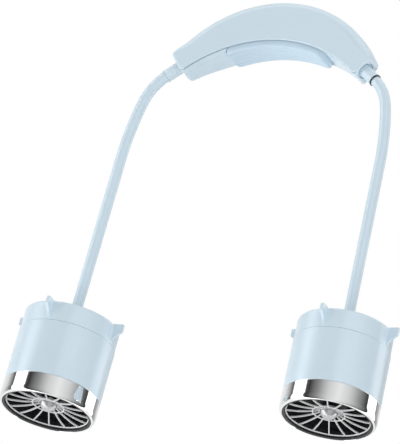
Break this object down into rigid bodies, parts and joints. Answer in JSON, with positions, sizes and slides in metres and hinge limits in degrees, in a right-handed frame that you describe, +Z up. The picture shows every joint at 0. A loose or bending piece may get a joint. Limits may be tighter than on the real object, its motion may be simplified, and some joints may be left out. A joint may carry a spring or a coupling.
{
  "type": "neck fan",
  "caption": "Neck fan: padded arch housing that rests on the nape, with a fan head on a bendable leg at each end, blowing down through dished ribbed grilles.",
  "frame": {"origin": "middle of the neck pad's inner face", "axes": "+Z up with the fan worn, +X to the right as seen from the front, -Y the front face away from the nape; the two sides match about X = 0"},
  "size_m": [0.2658, 0.074, 0.2887],
  "materials": {
    "shell_blue": "satin pale blue moulded plastic",
    "pad_blue": "soft matt silicone",
    "sleeve_blue": "smooth silicone",
    "chrome": "polished",
    "black": "near-black satin",
    "white": "white moulded plastic",
    "steel": "brushed",
    "core_steel": "wound spring steel",
    "board": "solder mask",
    "cell": "shrink wrap",
    "switch": "matt",
    "light": "clear light guide",
    "lead": "insulated pair"
  },
  "bodies": {
    "housing": {"front_shell": "shell_blue", "rear_shell": "shell_blue", "neck_pad": "pad_blue", "left_cell": "cell", "right_cell": "cell", "control_board": "board", "usb_socket": "steel", "button_switch": "switch", "status_light": "light", "housing_screws": "steel", "board_screws": "steel", "motor_leads": "lead", "left_collar": "shell_blue", "right_collar": "shell_blue", "left_seal_ring": "sleeve_blue", "right_seal_ring": "black", "left_shoulder_sleeve": "sleeve_blue", "right_shoulder_sleeve": "sleeve_blue", "left_upper_core": "core_steel", "right_upper_core": "core_steel"},
    "power_button": {"power_button": "shell_blue"},
    "left_upper_leg": {"left_upper_sleeve": "sleeve_blue", "left_middle_sleeve": "sleeve_blue", "left_middle_core": "core_steel"},
    "left_lower_leg": {"left_lower_sleeve": "sleeve_blue", "left_ankle_sleeve": "sleeve_blue", "left_lower_core": "core_steel"},
    "left_head": {"left_ferrule": "steel", "left_cap": "shell_blue", "left_cap_screws": "steel", "left_barrel": "shell_blue", "left_chrome_ring": "chrome", "left_lip_ring": "black", "left_outlet_grille": "white", "left_hub_badge": "steel", "left_motor": "steel", "left_motor_lead": "lead"},
    "left_impeller": {"left_impeller": "black", "left_shaft": "steel"},
    "right_upper_leg": {"right_upper_sleeve": "sleeve_blue", "right_middle_sleeve": "sleeve_blue", "right_middle_core": "core_steel"},
    "right_lower_leg": {"right_lower_sleeve": "sleeve_blue", "right_ankle_sleeve": "sleeve_blue", "right_lower_core": "core_steel"},
    "right_head": {"right_ferrule": "steel", "right_cap": "shell_blue", "right_cap_screws": "steel", "right_barrel": "shell_blue", "right_chrome_ring": "chrome", "right_lip_ring": "black", "right_outlet_grille": "white", "right_hub_badge": "steel", "right_motor": "steel", "right_motor_lead": "lead"},
    "right_impeller": {"right_impeller": "black", "right_shaft": "steel"}
  },
  "joints": [
    {"name": "button_press", "type": "slide", "parent": "housing", "child": "power_button", "axis": [0, -1, 0], "range_m": [0, 0.0008], "stiffness_N_per_m": 1500, "springref_m": -0.0004},
    {"name": "left_leg_swing", "type": "hinge", "parent": "housing", "child": "left_upper_leg", "pos_m": [-0.08516, -0.005, -0.03837], "axis": [0, 1, 0], "range_deg": [-8, 20], "deforming": ["left_shoulder_sleeve", "left_upper_core"]},
    {"name": "left_leg_fold", "type": "hinge", "parent": "left_upper_leg", "child": "left_lower_leg", "pos_m": [-0.09285, -0.005, -0.12434], "axis": [-1, 0, 0], "range_deg": [-35, 45], "deforming": ["left_middle_sleeve", "left_middle_core"]},
    {"name": "left_head_tilt", "type": "hinge", "parent": "left_lower_leg", "child": "left_head", "pos_m": [-0.09515, -0.005, -0.17929], "axis": [0, -1, 0], "range_deg": [-25, 20], "deforming": ["left_ankle_sleeve", "left_lower_core"]},
    {"name": "left_fan_spin", "type": "hinge", "parent": "left_head", "child": "left_impeller", "pos_m": [-0.09771, -0.005, -0.24043], "axis": [0.0419, 0, 0.9991], "continuous": true},
    {"name": "right_leg_swing", "type": "hinge", "parent": "housing", "child": "right_upper_leg", "pos_m": [0.08516, -0.005, -0.03837], "axis": [0, -1, 0], "range_deg": [-8, 20], "deforming": ["right_shoulder_sleeve", "right_upper_core"]},
    {"name": "right_leg_fold", "type": "hinge", "parent": "right_upper_leg", "child": "right_lower_leg", "pos_m": [0.09285, -0.005, -0.12434], "axis": [-1, 0, 0], "range_deg": [-35, 45], "deforming": ["right_middle_sleeve", "right_middle_core"]},
    {"name": "right_head_tilt", "type": "hinge", "parent": "right_lower_leg", "child": "right_head", "pos_m": [0.09515, -0.005, -0.17929], "axis": [0, 1, 0], "range_deg": [-25, 20], "deforming": ["right_ankle_sleeve", "right_lower_core"]},
    {"name": "right_fan_spin", "type": "hinge", "parent": "right_head", "child": "right_impeller", "pos_m": [0.09771, -0.005, -0.24043], "axis": [-0.0419, 0, 0.9991], "continuous": true}
  ]
}
